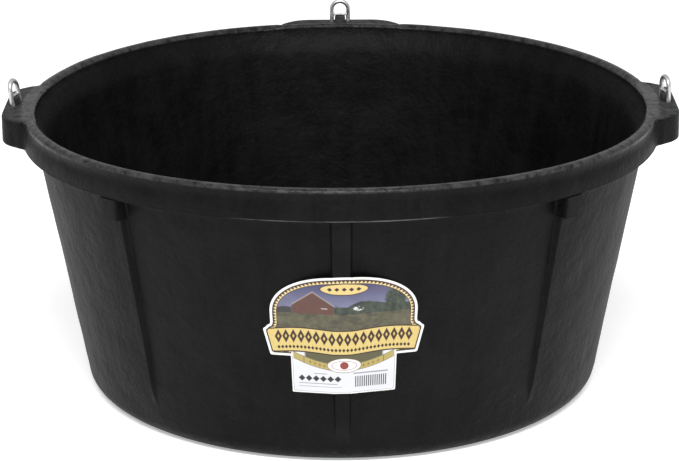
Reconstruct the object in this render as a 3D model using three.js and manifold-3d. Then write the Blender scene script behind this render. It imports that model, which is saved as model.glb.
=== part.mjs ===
import * as THREE from "three";
import { mergeVertices } from "three/addons/utils/BufferGeometryUtils.js";
import Module from "manifold-3d";

// Stable feed tub: a wide moulded rubber tub with three hanging lugs round the rim, a bent steel
// loop bolted down through each lug, and a printed card on the front wall.
// Millimetres, +Z up, front towards -Y, origin at the centre of the underside of the base.

// Tub body and rim.
const tubHeight = 210;
const openingRadius = 222;
const rimBead = 10;
const skirtProud = 0.5;
const skirtDepth = 22.5;
const skirtStep = 10.5;
const baseRadius = 187.5;
const wallThickness = 8;
const floorThickness = 9;
const baseRound = 13;
const floorRound = 20;
const roundSides = 96;

// Hanging lugs; turns are degrees round the tub, 0 at the front and 90 to the right.
const lugLength = 12.5;
const lugRootWidth = 126;
const lugEndWidth = 72;
const lugCorner = 11;
const lugDrop = 1.5;
const lugEdge = 1.2;
const lugRise = 0.1;
const lugTurns = { left: -90, back: 180, right: 90 };

// Ribs down the outer wall, and the stop blocks that head the slim ones.
const wideRib = { foot: 15, rootTop: 18, faceTop: 12.6, rootFoot: 14, faceFoot: 9, top: 6, low: 4 };
const slimRib = { foot: 24, rootTop: 14, faceTop: 8.5, rootFoot: 9, faceFoot: 3, top: 5, low: 2 };
const wideRibTurns = [0, 180];
const slimRibTurns = [43, 137, 223, 317];
const stopHeight = 16;
const stopWidth = 14;

// Steel loops: bent rod, cross bar, backing plate and nuts.
const rodDiameter = 3.4;
const loopSpan = 13.2;
const loopHeight = 18.4;
const loopInset = 8;
const loopYaw = { left: -16, back: 0, right: 16 };
const threadCut = 0.2;
const rodSides = 12;
const barHeight = 6.1;
const barWidth = 2.6;
const barThick = 1.4;
const plateEnd = 7;
const plateWidth = 10;
const plateThick = 2;
const plateCorner = 3;
const nutAcrossFlats = 7;
const nutThick = 3;
const threadBeyondNut = 1.8;

// Moulded pad under the cross bar.
const padClear = 0.5;
const padTaper = 0.5;
const padWidth = 6;

// Printed card on the front wall.
const cardFoot = 56.5;
const cardHeight = 89.5;
const cardTabWidth = 72.4;
const cardArchWidth = 98.4;
const cardArchFoot = 60.5;
const cardBand = { width: 109, footWidth: 101, foot: 28, top: 50.5, tip: 45.5 };
const cardShift = 1.2;
const cardTilt = 0.8;
const cardThick = 0.6;

// Gap left between pieces that touch or pass through each other.
const fitGap = 0.3;

const wasm = await Module();
wasm.setup();

// Turns a closed geometry into a solid for the booleans.
function solidOf(geometry) {
  const bare = geometry.clone();
  bare.deleteAttribute("normal");
  bare.deleteAttribute("uv");
  const welded = mergeVertices(bare, 1e-4);
  const kept = [];
  for (let i = 0; i < welded.index.count; i += 3) {
    const [a, b, c] = welded.index.array.subarray(i, i + 3);
    if (a !== b && b !== c && c !== a) kept.push(a, b, c);
  }
  const mesh = new wasm.Mesh({
    numProp: 3,
    vertProperties: welded.attributes.position.array,
    triVerts: new Uint32Array(kept),
  });
  return new wasm.Manifold(mesh);
}

// Turns a solid back into geometry that a mesh can carry.
function geometryOf(solid) {
  const mesh = solid.getMesh();
  const geometry = new THREE.BufferGeometry();
  geometry.setAttribute("position", new THREE.BufferAttribute(mesh.vertProperties, 3));
  geometry.setIndex(new THREE.BufferAttribute(mesh.triVerts, 1));
  const flat = geometry.toNonIndexed();
  flat.computeVertexNormals();
  return flat;
}

// Points along an arc in the profile plane, angles in degrees.
function arc(x, y, radius, from, to, steps) {
  const points = [];
  for (let i = 0; i <= steps; i++) {
    const angle = THREE.MathUtils.degToRad(from + ((to - from) * i) / steps);
    points.push(new THREE.Vector2(x + radius * Math.cos(angle), y + radius * Math.sin(angle)));
  }
  return points;
}

// A closed solid between two outlines that hold the same number of points, lower outline first.
function loft(lower, upper) {
  const count = lower.length;
  const positions = [...lower, ...upper].flatMap((point) => point.toArray());
  const faces = [];
  for (let i = 0; i < count; i++) {
    const next = (i + 1) % count;
    faces.push(i, next, count + next, i, count + next, count + i);
  }
  for (let i = 1; i < count - 1; i++) {
    faces.push(0, i + 1, i, count, count + i, count + i + 1);
  }
  const geometry = new THREE.BufferGeometry();
  geometry.setAttribute("position", new THREE.Float32BufferAttribute(positions, 3));
  geometry.setIndex(faces);
  return geometry;
}

// Turns a piece drawn at the back of the tub (+Y) round the tub's axis; 0 is the front.
function turned(geometry, degrees) {
  return geometry.rotateZ(THREE.MathUtils.degToRad(degrees - 180));
}

// The tub wall leans outwards as a cone from the base to the underside of the skirt.
const skirtRadius = openingRadius + rimBead + skirtProud;
const wallTopRadius = skirtRadius - skirtStep;
const skirtFoot = tubHeight - skirtDepth;
const wallLean = Math.atan((wallTopRadius - baseRadius) / skirtFoot);
const leanDegrees = THREE.MathUtils.radToDeg(wallLean);
const beadRadius = rimBead / 2;
const beadCentre = { radius: openingRadius + beadRadius, height: tubHeight - beadRadius };

function wallRadius(height) {
  return baseRadius + height * Math.tan(wallLean);
}

// Tub body: outer wall, skirt, rim bead, inner wall and floor in one turned profile.
function tubShell() {
  const cos = Math.cos(wallLean);
  const sin = Math.sin(wallLean);
  const footCentre = baseRadius - (baseRound * (1 - sin)) / cos;
  const floorCentre =
    baseRadius - wallThickness + ((floorThickness + floorRound) * sin - floorRound) / cos;
  const profile = [
    new THREE.Vector2(0, 0),
    ...arc(footCentre, baseRound, baseRound, -90, -leanDegrees, 4),
    new THREE.Vector2(wallTopRadius, skirtFoot),
    new THREE.Vector2(skirtRadius - 1.5, skirtFoot),
    new THREE.Vector2(skirtRadius, skirtFoot + 1.5),
    new THREE.Vector2(skirtRadius - 0.3, beadCentre.height - 4),
    new THREE.Vector2(skirtRadius - 1.8, beadCentre.height - 1.6),
    ...arc(beadCentre.radius, beadCentre.height, beadRadius, 0, 180, 6),
    new THREE.Vector2(openingRadius - 2.5, beadCentre.height - 5),
    new THREE.Vector2(wallTopRadius - wallThickness, skirtFoot),
    ...arc(floorCentre, floorThickness + floorRound, floorRound, -leanDegrees, -90, 4),
    new THREE.Vector2(0, floorThickness),
  ];
  return new THREE.LatheGeometry(profile, roundSides).rotateX(Math.PI / 2);
}

// Hanging lug: a thick tab with rounded outer corners, grown out of the skirt.
const lugReach = skirtRadius + lugLength;
const lugTop = tubHeight - lugDrop;
const lugFoot = skirtFoot + lugRise;

function lug() {
  const rootRadius = beadCentre.radius - 1;
  const rootHalf = Math.asin(lugRootWidth / 2 / rootRadius);
  const flankStart = new THREE.Vector2(lugRootWidth / 2, rootRadius * Math.cos(rootHalf));
  const corner = new THREE.Vector2(lugEndWidth / 2, lugReach);
  const flank = flankStart.clone().sub(corner).setLength(lugCorner);
  const outline = new THREE.Shape();
  outline.moveTo(flankStart.x, flankStart.y);
  outline.lineTo(corner.x + flank.x, corner.y + flank.y);
  outline.quadraticCurveTo(corner.x, corner.y, corner.x - lugCorner, corner.y);
  outline.lineTo(lugCorner - corner.x, corner.y);
  outline.quadraticCurveTo(-corner.x, corner.y, -corner.x - flank.x, corner.y + flank.y);
  outline.lineTo(-flankStart.x, flankStart.y);
  outline.absarc(0, 0, rootRadius, Math.PI / 2 + rootHalf, Math.PI / 2 - rootHalf, true);
  const body = new THREE.ExtrudeGeometry(outline, {
    depth: lugTop - lugFoot - 2 * lugEdge,
    bevelThickness: lugEdge,
    bevelSize: lugEdge,
    bevelOffset: -lugEdge,
    bevelSegments: 2,
    curveSegments: 5,
  });
  return body.translate(0, 0, lugFoot + lugEdge);
}

// One outline of a rib or stop block at a given height: root inside the wall, narrower face outside.
function ribSection(height, rootWidth, faceWidth, faceRadius) {
  const root = wallRadius(height) - wallThickness / 2;
  return [
    new THREE.Vector3(rootWidth / 2, root, height),
    new THREE.Vector3(faceWidth / 2, faceRadius, height),
    new THREE.Vector3(-faceWidth / 2, faceRadius, height),
    new THREE.Vector3(-rootWidth / 2, root, height),
  ];
}

// Stiffening rib: a low trapezoid bar down the wall, narrower and shallower towards its foot.
function rib({ foot, rootTop, faceTop, rootFoot, faceFoot, top, low }) {
  const head = skirtFoot + skirtDepth / 4;
  const lower = ribSection(foot, rootFoot, faceFoot, wallRadius(foot) + low);
  const upper = ribSection(head, rootTop, faceTop, wallRadius(head) + top);
  return loft(lower, upper);
}

// Stop block: a short block under the skirt, flush with it, where tubs rest when stacked.
function stopBlock() {
  const face = skirtRadius - 0.6;
  const lower = ribSection(skirtFoot - stopHeight, stopWidth + 1, stopWidth, face - 1.5);
  const upper = ribSection(skirtFoot + skirtDepth / 4, stopWidth + 1, stopWidth, face);
  return loft(lower, upper);
}

// Places a piece drawn about a loop's own centre onto its lug: yaw first, then out to the lug.
const loopRadius = lugReach - loopInset;

function onLug(geometry, side) {
  geometry.rotateZ(THREE.MathUtils.degToRad(loopYaw[side]));
  geometry.translate(0, loopRadius, lugTop);
  return turned(geometry, lugTurns[side]);
}

// An upright round bar between two heights, at a given offset across the loop.
function uprightBar(radius, across, bottom, top) {
  const bar = new THREE.CylinderGeometry(radius, radius, top - bottom, rodSides);
  return bar.rotateX(Math.PI / 2).translate(across, 0, (top + bottom) / 2);
}

const lugThickness = lugTop - lugFoot;
const rodRadius = rodDiameter / 2;
const threadRadius = rodRadius - threadCut;
const legAcross = loopSpan / 2;
const plateTop = skirtFoot - lugTop - fitGap;
const nutTop = plateTop - plateThick - fitGap;
const rodEnd = nutTop - nutThick - threadBeyondNut;

// The two holes the legs of a loop pass through, open above and below.
function legHoles(side) {
  const radius = rodRadius + fitGap;
  return [-legAcross, legAcross].map((across) =>
    onLug(uprightBar(radius, across, -lugThickness - 5, 1), side),
  );
}

// Small moulded pad between the legs, under the cross bar.
function pad(side) {
  const rectangle = (inset, height) => {
    const x = legAcross - rodRadius - padClear - inset;
    const y = padWidth / 2 - inset;
    return [
      new THREE.Vector3(-x, -y, height),
      new THREE.Vector3(x, -y, height),
      new THREE.Vector3(x, y, height),
      new THREE.Vector3(-x, y, height),
    ];
  };
  const top = barHeight - barThick / 2 - fitGap;
  return onLug(loft(rectangle(0, -2), rectangle(padTaper, top)), side);
}

function tub() {
  let body = solidOf(tubShell());
  for (const degrees of wideRibTurns) body = body.add(solidOf(turned(rib(wideRib), degrees)));
  for (const degrees of slimRibTurns) body = body.add(solidOf(turned(rib(slimRib), degrees)));
  for (const degrees of slimRibTurns) body = body.add(solidOf(turned(stopBlock(), degrees)));
  for (const side of Object.keys(lugTurns)) {
    body = body.add(solidOf(turned(lug(), lugTurns[side])));
    body = body.add(solidOf(pad(side)));
    for (const hole of legHoles(side)) body = body.subtract(solidOf(hole));
  }
  return geometryOf(body);
}

// Centre line of the bent rod above the lug: up one leg, over a half circle, down the other.
class LoopLine extends THREE.Curve {
  getPoint(t, target = new THREE.Vector3()) {
    const straight = loopHeight - rodRadius - legAcross;
    const bend = Math.PI * legAcross;
    const along = t * (2 * straight + bend);
    if (along < straight) return target.set(-legAcross, 0, along);
    if (along > straight + bend) return target.set(legAcross, 0, 2 * straight + bend - along);
    const angle = (along - straight) / legAcross;
    return target.set(-legAcross * Math.cos(angle), 0, straight + legAcross * Math.sin(angle));
  }
}

// Loop: round steel rod bent over, with two turned-down threaded legs that pass through the lug.
function loop(side) {
  const section = new THREE.Shape();
  section.absarc(0, 0, rodRadius, 0, 2 * Math.PI, false);
  const bow = new THREE.ExtrudeGeometry(section, {
    steps: 22,
    curveSegments: rodSides / 2,
    bevelEnabled: false,
    extrudePath: new LoopLine(),
  });
  let body = solidOf(bow);
  for (const across of [-legAcross, legAcross]) {
    body = body.add(solidOf(uprightBar(threadRadius, across, rodEnd, rodRadius)));
  }
  return onLug(geometryOf(body), side);
}

// Cross bar: short flat bar let in between the legs, hollowed at both ends to fit them.
function crossBar(side) {
  const bar = new THREE.BoxGeometry(loopSpan, barWidth, barThick);
  let body = solidOf(bar.translate(0, 0, barHeight));
  for (const across of [-legAcross, legAcross]) {
    const clear = uprightBar(rodRadius + fitGap, across, 0, loopHeight);
    body = body.subtract(solidOf(clear));
  }
  return onLug(geometryOf(body), side);
}

// Backing plate: steel strip under the lug that spreads the pull of both legs.
function backingPlate(side) {
  const x = legAcross + plateEnd;
  const y = plateWidth / 2;
  const outline = new THREE.Shape();
  outline.absarc(x - plateCorner, y - plateCorner, plateCorner, 0, Math.PI / 2, false);
  outline.absarc(plateCorner - x, y - plateCorner, plateCorner, Math.PI / 2, Math.PI, false);
  outline.absarc(plateCorner - x, plateCorner - y, plateCorner, Math.PI, 1.5 * Math.PI, false);
  outline.absarc(x - plateCorner, plateCorner - y, plateCorner, 1.5 * Math.PI, 2 * Math.PI, false);
  for (const across of [-legAcross, legAcross]) {
    const hole = new THREE.Path();
    hole.absarc(across, 0, threadRadius + fitGap, 0, 2 * Math.PI, true);
    outline.holes.push(hole);
  }
  const plate = new THREE.ExtrudeGeometry(outline, {
    depth: plateThick,
    curveSegments: 5,
    bevelEnabled: false,
  });
  return onLug(plate.translate(0, 0, plateTop - plateThick), side);
}

// Hexagon nut on one threaded leg, drawn up against the backing plate.
function nut(side, across) {
  const outline = new THREE.Shape();
  const corners = arc(0, 0, nutAcrossFlats / Math.sqrt(3), 0, 300, 5);
  outline.setFromPoints(corners);
  const bore = new THREE.Path();
  bore.absarc(0, 0, threadRadius + fitGap, 0, 2 * Math.PI, true);
  outline.holes.push(bore);
  const body = new THREE.ExtrudeGeometry(outline, {
    depth: nutThick,
    curveSegments: 6,
    bevelEnabled: false,
  });
  return onLug(body.translate(across, 0, nutTop - nutThick), side);
}

// Value along a run of [distance, value] stops, straight between neighbouring stops.
function along(stops, distance) {
  const next = stops.findIndex(([at]) => at >= distance);
  if (next < 1) return stops.at(next === 0 ? 0 : -1)[1];
  const [[from, low], [to, high]] = [stops[next - 1], stops[next]];
  return THREE.MathUtils.mapLinear(distance, from, to, low, high);
}

// Outline of the die-cut card: a square tab below, a wide band across it and an arch on top.
const cardStep = 1.5;
const cardFootStops = [
  [cardTabWidth / 2, 0],
  [cardTabWidth / 2 + cardStep, cardBand.foot],
  [cardBand.footWidth / 2, cardBand.foot],
  [cardBand.width / 2, cardBand.tip],
];
const cardTopStops = [
  [cardArchWidth / 2, cardArchFoot],
  [cardArchWidth / 2 + cardStep, cardBand.top],
  [cardBand.width / 2, cardBand.tip + cardStep],
];

function cardTopAt(across) {
  const reach = across / (cardArchWidth / 2);
  if (reach >= 1) return along(cardTopStops, across);
  return cardArchFoot + (cardHeight - cardArchFoot) * (1 - reach ** 2.4) ** (1 / 2.4);
}

// Radius of the card's back: flat over the rib, then straight until it meets the wall.
function cardRadius(angle, height) {
  const wall = wallRadius(height) + fitGap;
  const rise = (height - wideRib.foot) / (skirtFoot - wideRib.foot);
  const face = wall + THREE.MathUtils.lerp(wideRib.low, wideRib.top, rise);
  const half = THREE.MathUtils.lerp(wideRib.faceFoot, wideRib.faceTop, rise) / 2 + 1;
  const edge = Math.atan(half / face);
  const touch = edge + Math.acos((wall * Math.cos(edge)) / face);
  const turn = Math.abs(angle);
  if (turn < edge) return face / Math.cos(turn);
  return wall / Math.cos(Math.max(touch - turn, 0));
}

// Printed card: a thin sheet stuck on the front wall and bent over the centre rib.
function card() {
  const edges = [...cardFootStops, ...cardTopStops].map(([at]) => at);
  const even = [0, 3, 5.4, 6.4, 7.4, 11, 15, 20, 25, 29, 33, 41, 45, 47.5];
  const right = [...new Set([...even, ...edges])].sort((a, b) => a - b);
  const columns = [...right.slice(1).reverse().map((x) => -x), ...right];
  const rows = 7;
  const middle = wallRadius(cardFoot + cardHeight / 2);
  const slope = Math.tan(THREE.MathUtils.degToRad(cardTilt));
  const positions = [];
  for (const face of [0, cardThick]) {
    for (const across of columns) {
      const foot = along(cardFootStops, Math.abs(across));
      const top = cardTopAt(Math.abs(across));
      for (let row = 0; row < rows; row++) {
        const share = row / (rows - 1);
        const height = cardFoot + THREE.MathUtils.lerp(foot, top, share) + across * slope;
        const angle = (across + cardShift) / middle;
        const radius = cardRadius(angle, height) + face;
        positions.push(radius * Math.sin(angle), -radius * Math.cos(angle), height);
      }
    }
  }
  const last = columns.length - 1;
  const at = (face, column, row) => (face * columns.length + column) * rows + row;
  const faces = [];
  const quad = (a, b, c, d) => faces.push(a, b, c, a, c, d);
  for (let i = 0; i < last; i++) {
    for (let j = 0; j < rows - 1; j++) {
      quad(at(1, i, j), at(1, i + 1, j), at(1, i + 1, j + 1), at(1, i, j + 1));
      quad(at(0, i, j), at(0, i, j + 1), at(0, i + 1, j + 1), at(0, i + 1, j));
    }
    quad(at(0, i, 0), at(0, i + 1, 0), at(1, i + 1, 0), at(1, i, 0));
    quad(at(1, i, rows - 1), at(1, i + 1, rows - 1), at(0, i + 1, rows - 1), at(0, i, rows - 1));
  }
  for (let j = 0; j < rows - 1; j++) {
    quad(at(0, 0, j), at(1, 0, j), at(1, 0, j + 1), at(0, 0, j + 1));
    quad(at(0, last, j + 1), at(1, last, j + 1), at(1, last, j), at(0, last, j));
  }
  const geometry = new THREE.BufferGeometry();
  geometry.setAttribute("position", new THREE.Float32BufferAttribute(positions, 3));
  geometry.setIndex(faces);
  return geometryOf(solidOf(geometry));
}

const rubber = { color: 0x161617, roughness: 0.62, metalness: 0 };
const zinc = { color: 0xb9bcbf, roughness: 0.35, metalness: 1 };
const print = { color: 0xc9b483, roughness: 0.5, metalness: 0 };

const group = new THREE.Group();
group.name = "feed_tub";

function addPiece(name, geometry, finish) {
  const mesh = new THREE.Mesh(geometry, new THREE.MeshStandardMaterial(finish));
  mesh.name = name;
  group.add(mesh);
}

addPiece("tub", tub(), rubber);
addPiece("card", card(), print);
for (const side of Object.keys(lugTurns)) {
  addPiece(`loop_${side}`, loop(side), zinc);
  addPiece(`cross_bar_${side}`, crossBar(side), zinc);
  addPiece(`backing_plate_${side}`, backingPlate(side), zinc);
  addPiece(`nut_a_${side}`, nut(side, -legAcross), zinc);
  addPiece(`nut_b_${side}`, nut(side, legAcross), zinc);
}

export default group;
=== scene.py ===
import math

import bpy
import numpy as np
from mathutils import Euler, Matrix, Vector, geometry, noise


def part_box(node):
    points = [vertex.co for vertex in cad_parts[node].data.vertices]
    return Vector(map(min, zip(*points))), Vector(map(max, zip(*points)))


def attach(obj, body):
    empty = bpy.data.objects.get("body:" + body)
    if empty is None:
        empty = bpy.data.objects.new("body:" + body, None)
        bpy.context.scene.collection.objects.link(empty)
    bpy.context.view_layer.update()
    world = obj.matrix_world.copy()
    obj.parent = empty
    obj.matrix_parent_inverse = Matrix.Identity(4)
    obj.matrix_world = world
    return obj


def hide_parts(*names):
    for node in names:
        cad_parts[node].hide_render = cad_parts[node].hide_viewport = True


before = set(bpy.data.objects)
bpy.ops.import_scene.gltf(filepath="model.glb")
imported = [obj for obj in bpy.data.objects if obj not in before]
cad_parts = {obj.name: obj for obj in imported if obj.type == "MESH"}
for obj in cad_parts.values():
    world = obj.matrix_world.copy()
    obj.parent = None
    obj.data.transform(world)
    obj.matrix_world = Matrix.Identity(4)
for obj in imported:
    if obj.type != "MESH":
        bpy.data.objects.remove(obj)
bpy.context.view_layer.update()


# Tub: black rubber, cured in a steel mould in one shot with its rim bead, skirt, three hanging
# lugs, ribs and stop blocks. Lengths here are millimetres; turns are degrees round the tub,
# 0 at the front and 90 to the right.
MM = 0.001
tub_low, tub_high = (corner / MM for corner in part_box("tub"))
loop_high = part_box("loop_back")[1] / MM

skirt_radius = -tub_low.y
lug_reach = tub_high.x
rim_height = 210.0
bead_radius = 5.0
opening_radius = skirt_radius - 0.5 - 2 * bead_radius
skirt_depth = 22.5
skirt_foot = rim_height - skirt_depth
wall_top_radius = skirt_radius - 10.5
base_radius = 187.5
wall_thickness = 8.0
floor_thickness = 9.0
base_round = 13.0
floor_round = 20.0
wall_slope = (wall_top_radius - base_radius) / skirt_foot
lean = math.atan(wall_slope)
bead_centre = (opening_radius + bead_radius, rim_height - bead_radius)

lug_top = rim_height - 1.5
lug_foot = skirt_foot + 0.1
lug_root_half = 66.0
lug_root_depth = 12.0
lug_end_half = 36.0
lug_corner = 12.0
lug_turns = {"left": -90, "back": 180, "right": 90}
edge_steps = 441
edge_turns = 22
edge_window = 60
edge_softness = 20.0
flank_fillet = 2.2
side_drop = 2.0
front_drop = 4.6

stop_height = 16.0
stop_half = 7.0
rib_head = skirt_foot + skirt_depth / 4
rib_fade = 17.0
WIDE = {"foot": 15, "root": (14, 18), "face": (9, 12.6), "proud": (2.4, 6), "block": False}
SLIM = {"foot": 24, "root": (9, 14), "face": (3, 8.5), "proud": (2, 5), "block": True}
ribs = [(0, WIDE), (43, SLIM), (137, SLIM), (180, WIDE), (223, SLIM), (317, SLIM)]


def mix(a, b, share):
    return a + (b - a) * share


def ease(x, low, high):
    """0 below low, 1 above high, and a soft S between them."""
    t = np.clip((x - low) / (high - low), 0.0, 1.0)
    return t * t * (3 - 2 * t)


def arc(centre, radius, start, stop, steps):
    """Points (across, up) along an arc in the profile plane, both ends included."""
    angles = np.radians(np.linspace(start, stop, steps + 1))
    return [(centre[0] + radius * math.cos(a), centre[1] + radius * math.sin(a)) for a in angles]


def wall_radius(height):
    return base_radius + height * wall_slope


def rib_shape(kind, height):
    """Half width of the rib's face, half width at the wall, and how proud it stands."""
    share = float(np.clip((height - kind["foot"]) / (rib_head - kind["foot"]), 0, 1))
    proud = mix(*kind["proud"], share)
    face = mix(*kind["face"], share) / 2
    root = mix(mix(*kind["root"], share) / 2, face, 4 / (4 + proud))
    proud *= float(ease(height, kind["foot"], kind["foot"] + rib_fade))
    if kind["block"]:
        foot = skirt_foot - stop_height
        block = float(ease(height, foot - 0.7, foot + 0.5))
        reach = skirt_radius - 2.1 + 1.5 * (height - foot) / stop_height
        face, root = mix(face, stop_half, block), mix(root, stop_half + 0.5, block)
        proud = mix(proud, reach - wall_radius(height), block)
    return face, root, proud


def lug_outline():
    """Radius of the lug's edge at even turns from its middle, with soft inner corners."""
    root_radius = bead_centre[0] - lug_root_depth
    flank_start = np.array([lug_root_half, math.sqrt(root_radius**2 - lug_root_half**2)])
    corner = np.array([lug_end_half, lug_reach])
    flank = (flank_start - corner) / np.linalg.norm(flank_start - corner) * lug_corner
    points = [np.array([0.0, lug_reach])]
    for t in np.linspace(0, 1, 9):
        start, stop = corner - (lug_corner, 0), corner + flank
        points.append((1 - t) ** 2 * start + 2 * t * (1 - t) * corner + t**2 * stop)
    points.append(flank_start)
    turn = np.degrees([math.atan2(p[0], p[1]) for p in points])
    steps = np.linspace(0, edge_turns, edge_steps)
    edge = np.full(len(steps), skirt_radius)
    for i, step in enumerate(steps):
        k = np.searchsorted(turn, step)
        if 0 < k < len(points):
            a, b = points[k - 1], points[k]
            ray = np.array([math.sin(math.radians(step)), math.cos(math.radians(step))])
            side = b - a
            reach = (a[0] * side[1] - a[1] * side[0]) / (ray[0] * side[1] - ray[1] * side[0])
            past_skirt = (reach - skirt_radius) / flank_fillet
            edge[i] = skirt_radius + flank_fillet * np.logaddexp(0, past_skirt)
    edge[0] = lug_reach
    window = np.arange(-edge_window, edge_window + 1)
    kernel = np.exp(-0.5 * (window / edge_softness) ** 2)
    mirrored = np.concatenate([edge[edge_window:0:-1], edge, np.full(edge_window, skirt_radius)])
    soft = np.convolve(mirrored, kernel / kernel.sum(), "valid")
    return steps, mix(edge, soft, ease(steps, 9.5, 12.5))


# Columns of the mesh round the tub. Beside a rib they follow its edges down the wall, so each
# one holds: its turn, the rib it follows, shares of the rib's face and flank, and its lift.
rib_columns = [
    (0.45, 0, 0, 1), (0.8, 0, 0, 1), (0.95, 0, 0, 0.985), (1, 0, 0, 0.9), (1, 0.25, 0, 0.7),
    (1, 0.5, 0, 0.46), (1, 0.75, 0, 0.22), (1, 1, 0, 0.05), (1, 1, 0.4, 0.01), (1, 1, 1.2, 0),
    (1, 1, 3.2, 0), (0, 0, 14, 0), (0, 0, 18, 0),
]
rib_window = 5.2
columns = []
for index, (rib_turn, kind) in enumerate(ribs):
    columns.append((rib_turn, index, 0, 0, 0, 1))
    for side in (-1, 1):
        for face, flank, beyond, lift in rib_columns:
            columns.append((rib_turn, index, side * face, side * flank, side * beyond, lift))


def sag(sideways, forward):
    """Drop of the soft rim, from the square of x and the forward part of -y as shares of radius."""
    return side_drop * sideways * sideways * sideways + front_drop * sideways * forward


def turn_gap(a, b):
    return abs((a - b + 180) % 360 - 180)


lug_window = 16.5
fine_step = 0.35
lug_flat = 4.5
plain_turns = [float(t) for t in range(0, 360)]
for turn in lug_turns.values():
    plain_turns = [t for t in plain_turns if turn_gap(t, turn) > lug_window]
    fine = np.arange(fine_step, lug_window, fine_step)
    fine = [s for s in fine if s > lug_flat or round(s / fine_step) % 2 == 0]
    plain_turns += [turn % 360] + [(turn + side * s) % 360 for s in fine for side in (-1, 1)]
plain_turns = [t for t in plain_turns if all(turn_gap(t, r) > rib_window for r, kind in ribs)]
columns += [(t, -1, 0, 0, 0, 0) for t in plain_turns]

column_turn, column_rib, share_face, share_flank, beyond, lift = np.array(columns, float).T
column_rib = column_rib.astype(int)


def spread(height):
    """Turn of each column, and how far the wall stands out there, at one height."""
    turn = column_turn.copy()
    proud = np.zeros(len(turn))
    for index, (rib_turn, kind) in enumerate(ribs):
        face, root, out = rib_shape(kind, height)
        mine = column_rib == index
        across = face * share_face[mine] + (root - face) * share_flank[mine] + beyond[mine]
        turn[mine] += np.degrees(across / wall_radius(height))
        proud[mine] = out * lift[mine]
    return turn, proud


order = np.argsort(spread(skirt_foot)[0] % 360)
column_turn, column_rib, share_face, share_flank, beyond, lift = (
    values[order] for values in (column_turn, column_rib, share_face, share_flank, beyond, lift)
)
top_turn = spread(skirt_foot)[0]

outline_turn, outline_edge = lug_outline()
edge_radius = np.full(len(top_turn), skirt_radius)
for turn in lug_turns.values():
    lug_edge_radius = np.interp(turn_gap(top_turn, turn), outline_turn, outline_edge)
    edge_radius = np.maximum(edge_radius, lug_edge_radius)
lug_share = ease(edge_radius - skirt_radius, 0.3, 4.0)

rings = []


def add_ring(radius, height, turn=top_turn):
    rings.append((np.broadcast_to(radius, turn.shape), np.broadcast_to(height, turn.shape), turn))


# Inside: floor, floor fillet, wall, flare and the inner half of the bead.
inner_foot = base_radius - wall_thickness
fillet_height = floor_thickness + floor_round
fillet_radius = inner_foot + (fillet_height * math.sin(lean) - floor_round) / math.cos(lean)
for radius in (22, 45, 70, 95, 118, 138, 154):
    add_ring(radius, floor_thickness)
fillet_centre = (fillet_radius, fillet_height)
for radius, height in arc(fillet_centre, floor_round, -90, -math.degrees(lean), 10):
    add_ring(radius, height)
for height in np.linspace(34, skirt_foot, 22):
    add_ring(inner_foot + height * wall_slope, height)
flare_start = wall_top_radius - wall_thickness
for share in (0.16, 0.32, 0.5, 0.68, 0.84):
    rise = mix(skirt_foot, bead_centre[1], share)
    add_ring(flare_start + (opening_radius - flare_start) * share**1.25, rise)
ridge_radius = 2.6
ridge_centre = opening_radius + ridge_radius
at_back = 1 - ease(turn_gap(top_turn, 180), 20, 25)
ridge_top = mix(lug_top + 0.3, rim_height - 0.1, at_back)
ridge = arc((ridge_centre, -ridge_radius), ridge_radius, 180, 90, 8)
for (radius, height), (lug_radius, drop) in zip(arc(bead_centre, bead_radius, 180, 90, 8), ridge):
    add_ring(mix(radius, lug_radius, lug_share), mix(height, ridge_top + drop, lug_share))

# Outside of the rim: over the skirt the bead rolls into a groove and a flat band that ends in a
# thin flash line. Over a lug the same rings run out past a low ridge and a groove to the lug's
# top, then round its upper edge, down its face and round its lower edge.
skirt_face = skirt_radius - 0.9
skirt_rings = arc((skirt_radius - 4.1, 207.3), 2.5, 78, 0, 5)
# Height and depth down the groove and the band.
hollow = [(205.4, 1.8), (203.9, 2.4), (202.4, 2.6), (200.8, 2.45), (199.3, 2.1)]
hollow += [(197.6, 1.65), (195.6, 1.25), (193.2, 1.0), (190.5, 0.9)]
skirt_rings += [(skirt_radius - depth, height) for height, depth in hollow]
skirt_rings += [(skirt_face, skirt_foot + 1.3), (skirt_face, skirt_foot + 0.95)]
skirt_rings += [(skirt_face + 0.06, skirt_foot + 0.6), (skirt_face - 0.35, skirt_foot + 0.2)]
skirt_rings += [(skirt_face - 1.2, skirt_foot)]
flash_ring = 17
lug_edge = 1.8
lug_foot_edge = 1.5
groove_depth = mix(0.1, 1.1, at_back)
flash = 0.1 + 0.9 * np.exp(-((turn_gap(top_turn, 0) / 13.0) ** 2))
over_lug = [(ridge_centre + 1.1, mix(ridge_top, lug_top, 0.12))]
over_lug += [(ridge_centre + 1.9, mix(ridge_top, lug_top, 0.5))]
for past_ridge, share in ((2.7, 0.5), (4.0, 1.0), (6.6, 0.7)):
    over_lug.append((ridge_centre + past_ridge, lug_top - groove_depth * share))
over_lug += [(ridge_centre + 8.8, lug_top), (edge_radius - lug_edge, lug_top)]
for bend in np.radians((67.5, 45.0, 22.5, 0.0)):
    lug_height = lug_top - lug_edge + lug_edge * math.sin(bend)
    over_lug.append((edge_radius - lug_edge + lug_edge * math.cos(bend), lug_height))
over_lug += [(edge_radius, lug_height) for lug_height in (203, 199, 195, 190)]
for bend in np.radians((0.0, -22.5, -45.0, -67.5, -90.0)):
    lug_height = lug_foot + lug_foot_edge + lug_foot_edge * math.sin(bend)
    over_lug.append((edge_radius - lug_foot_edge + lug_foot_edge * math.cos(bend), lug_height))
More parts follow.
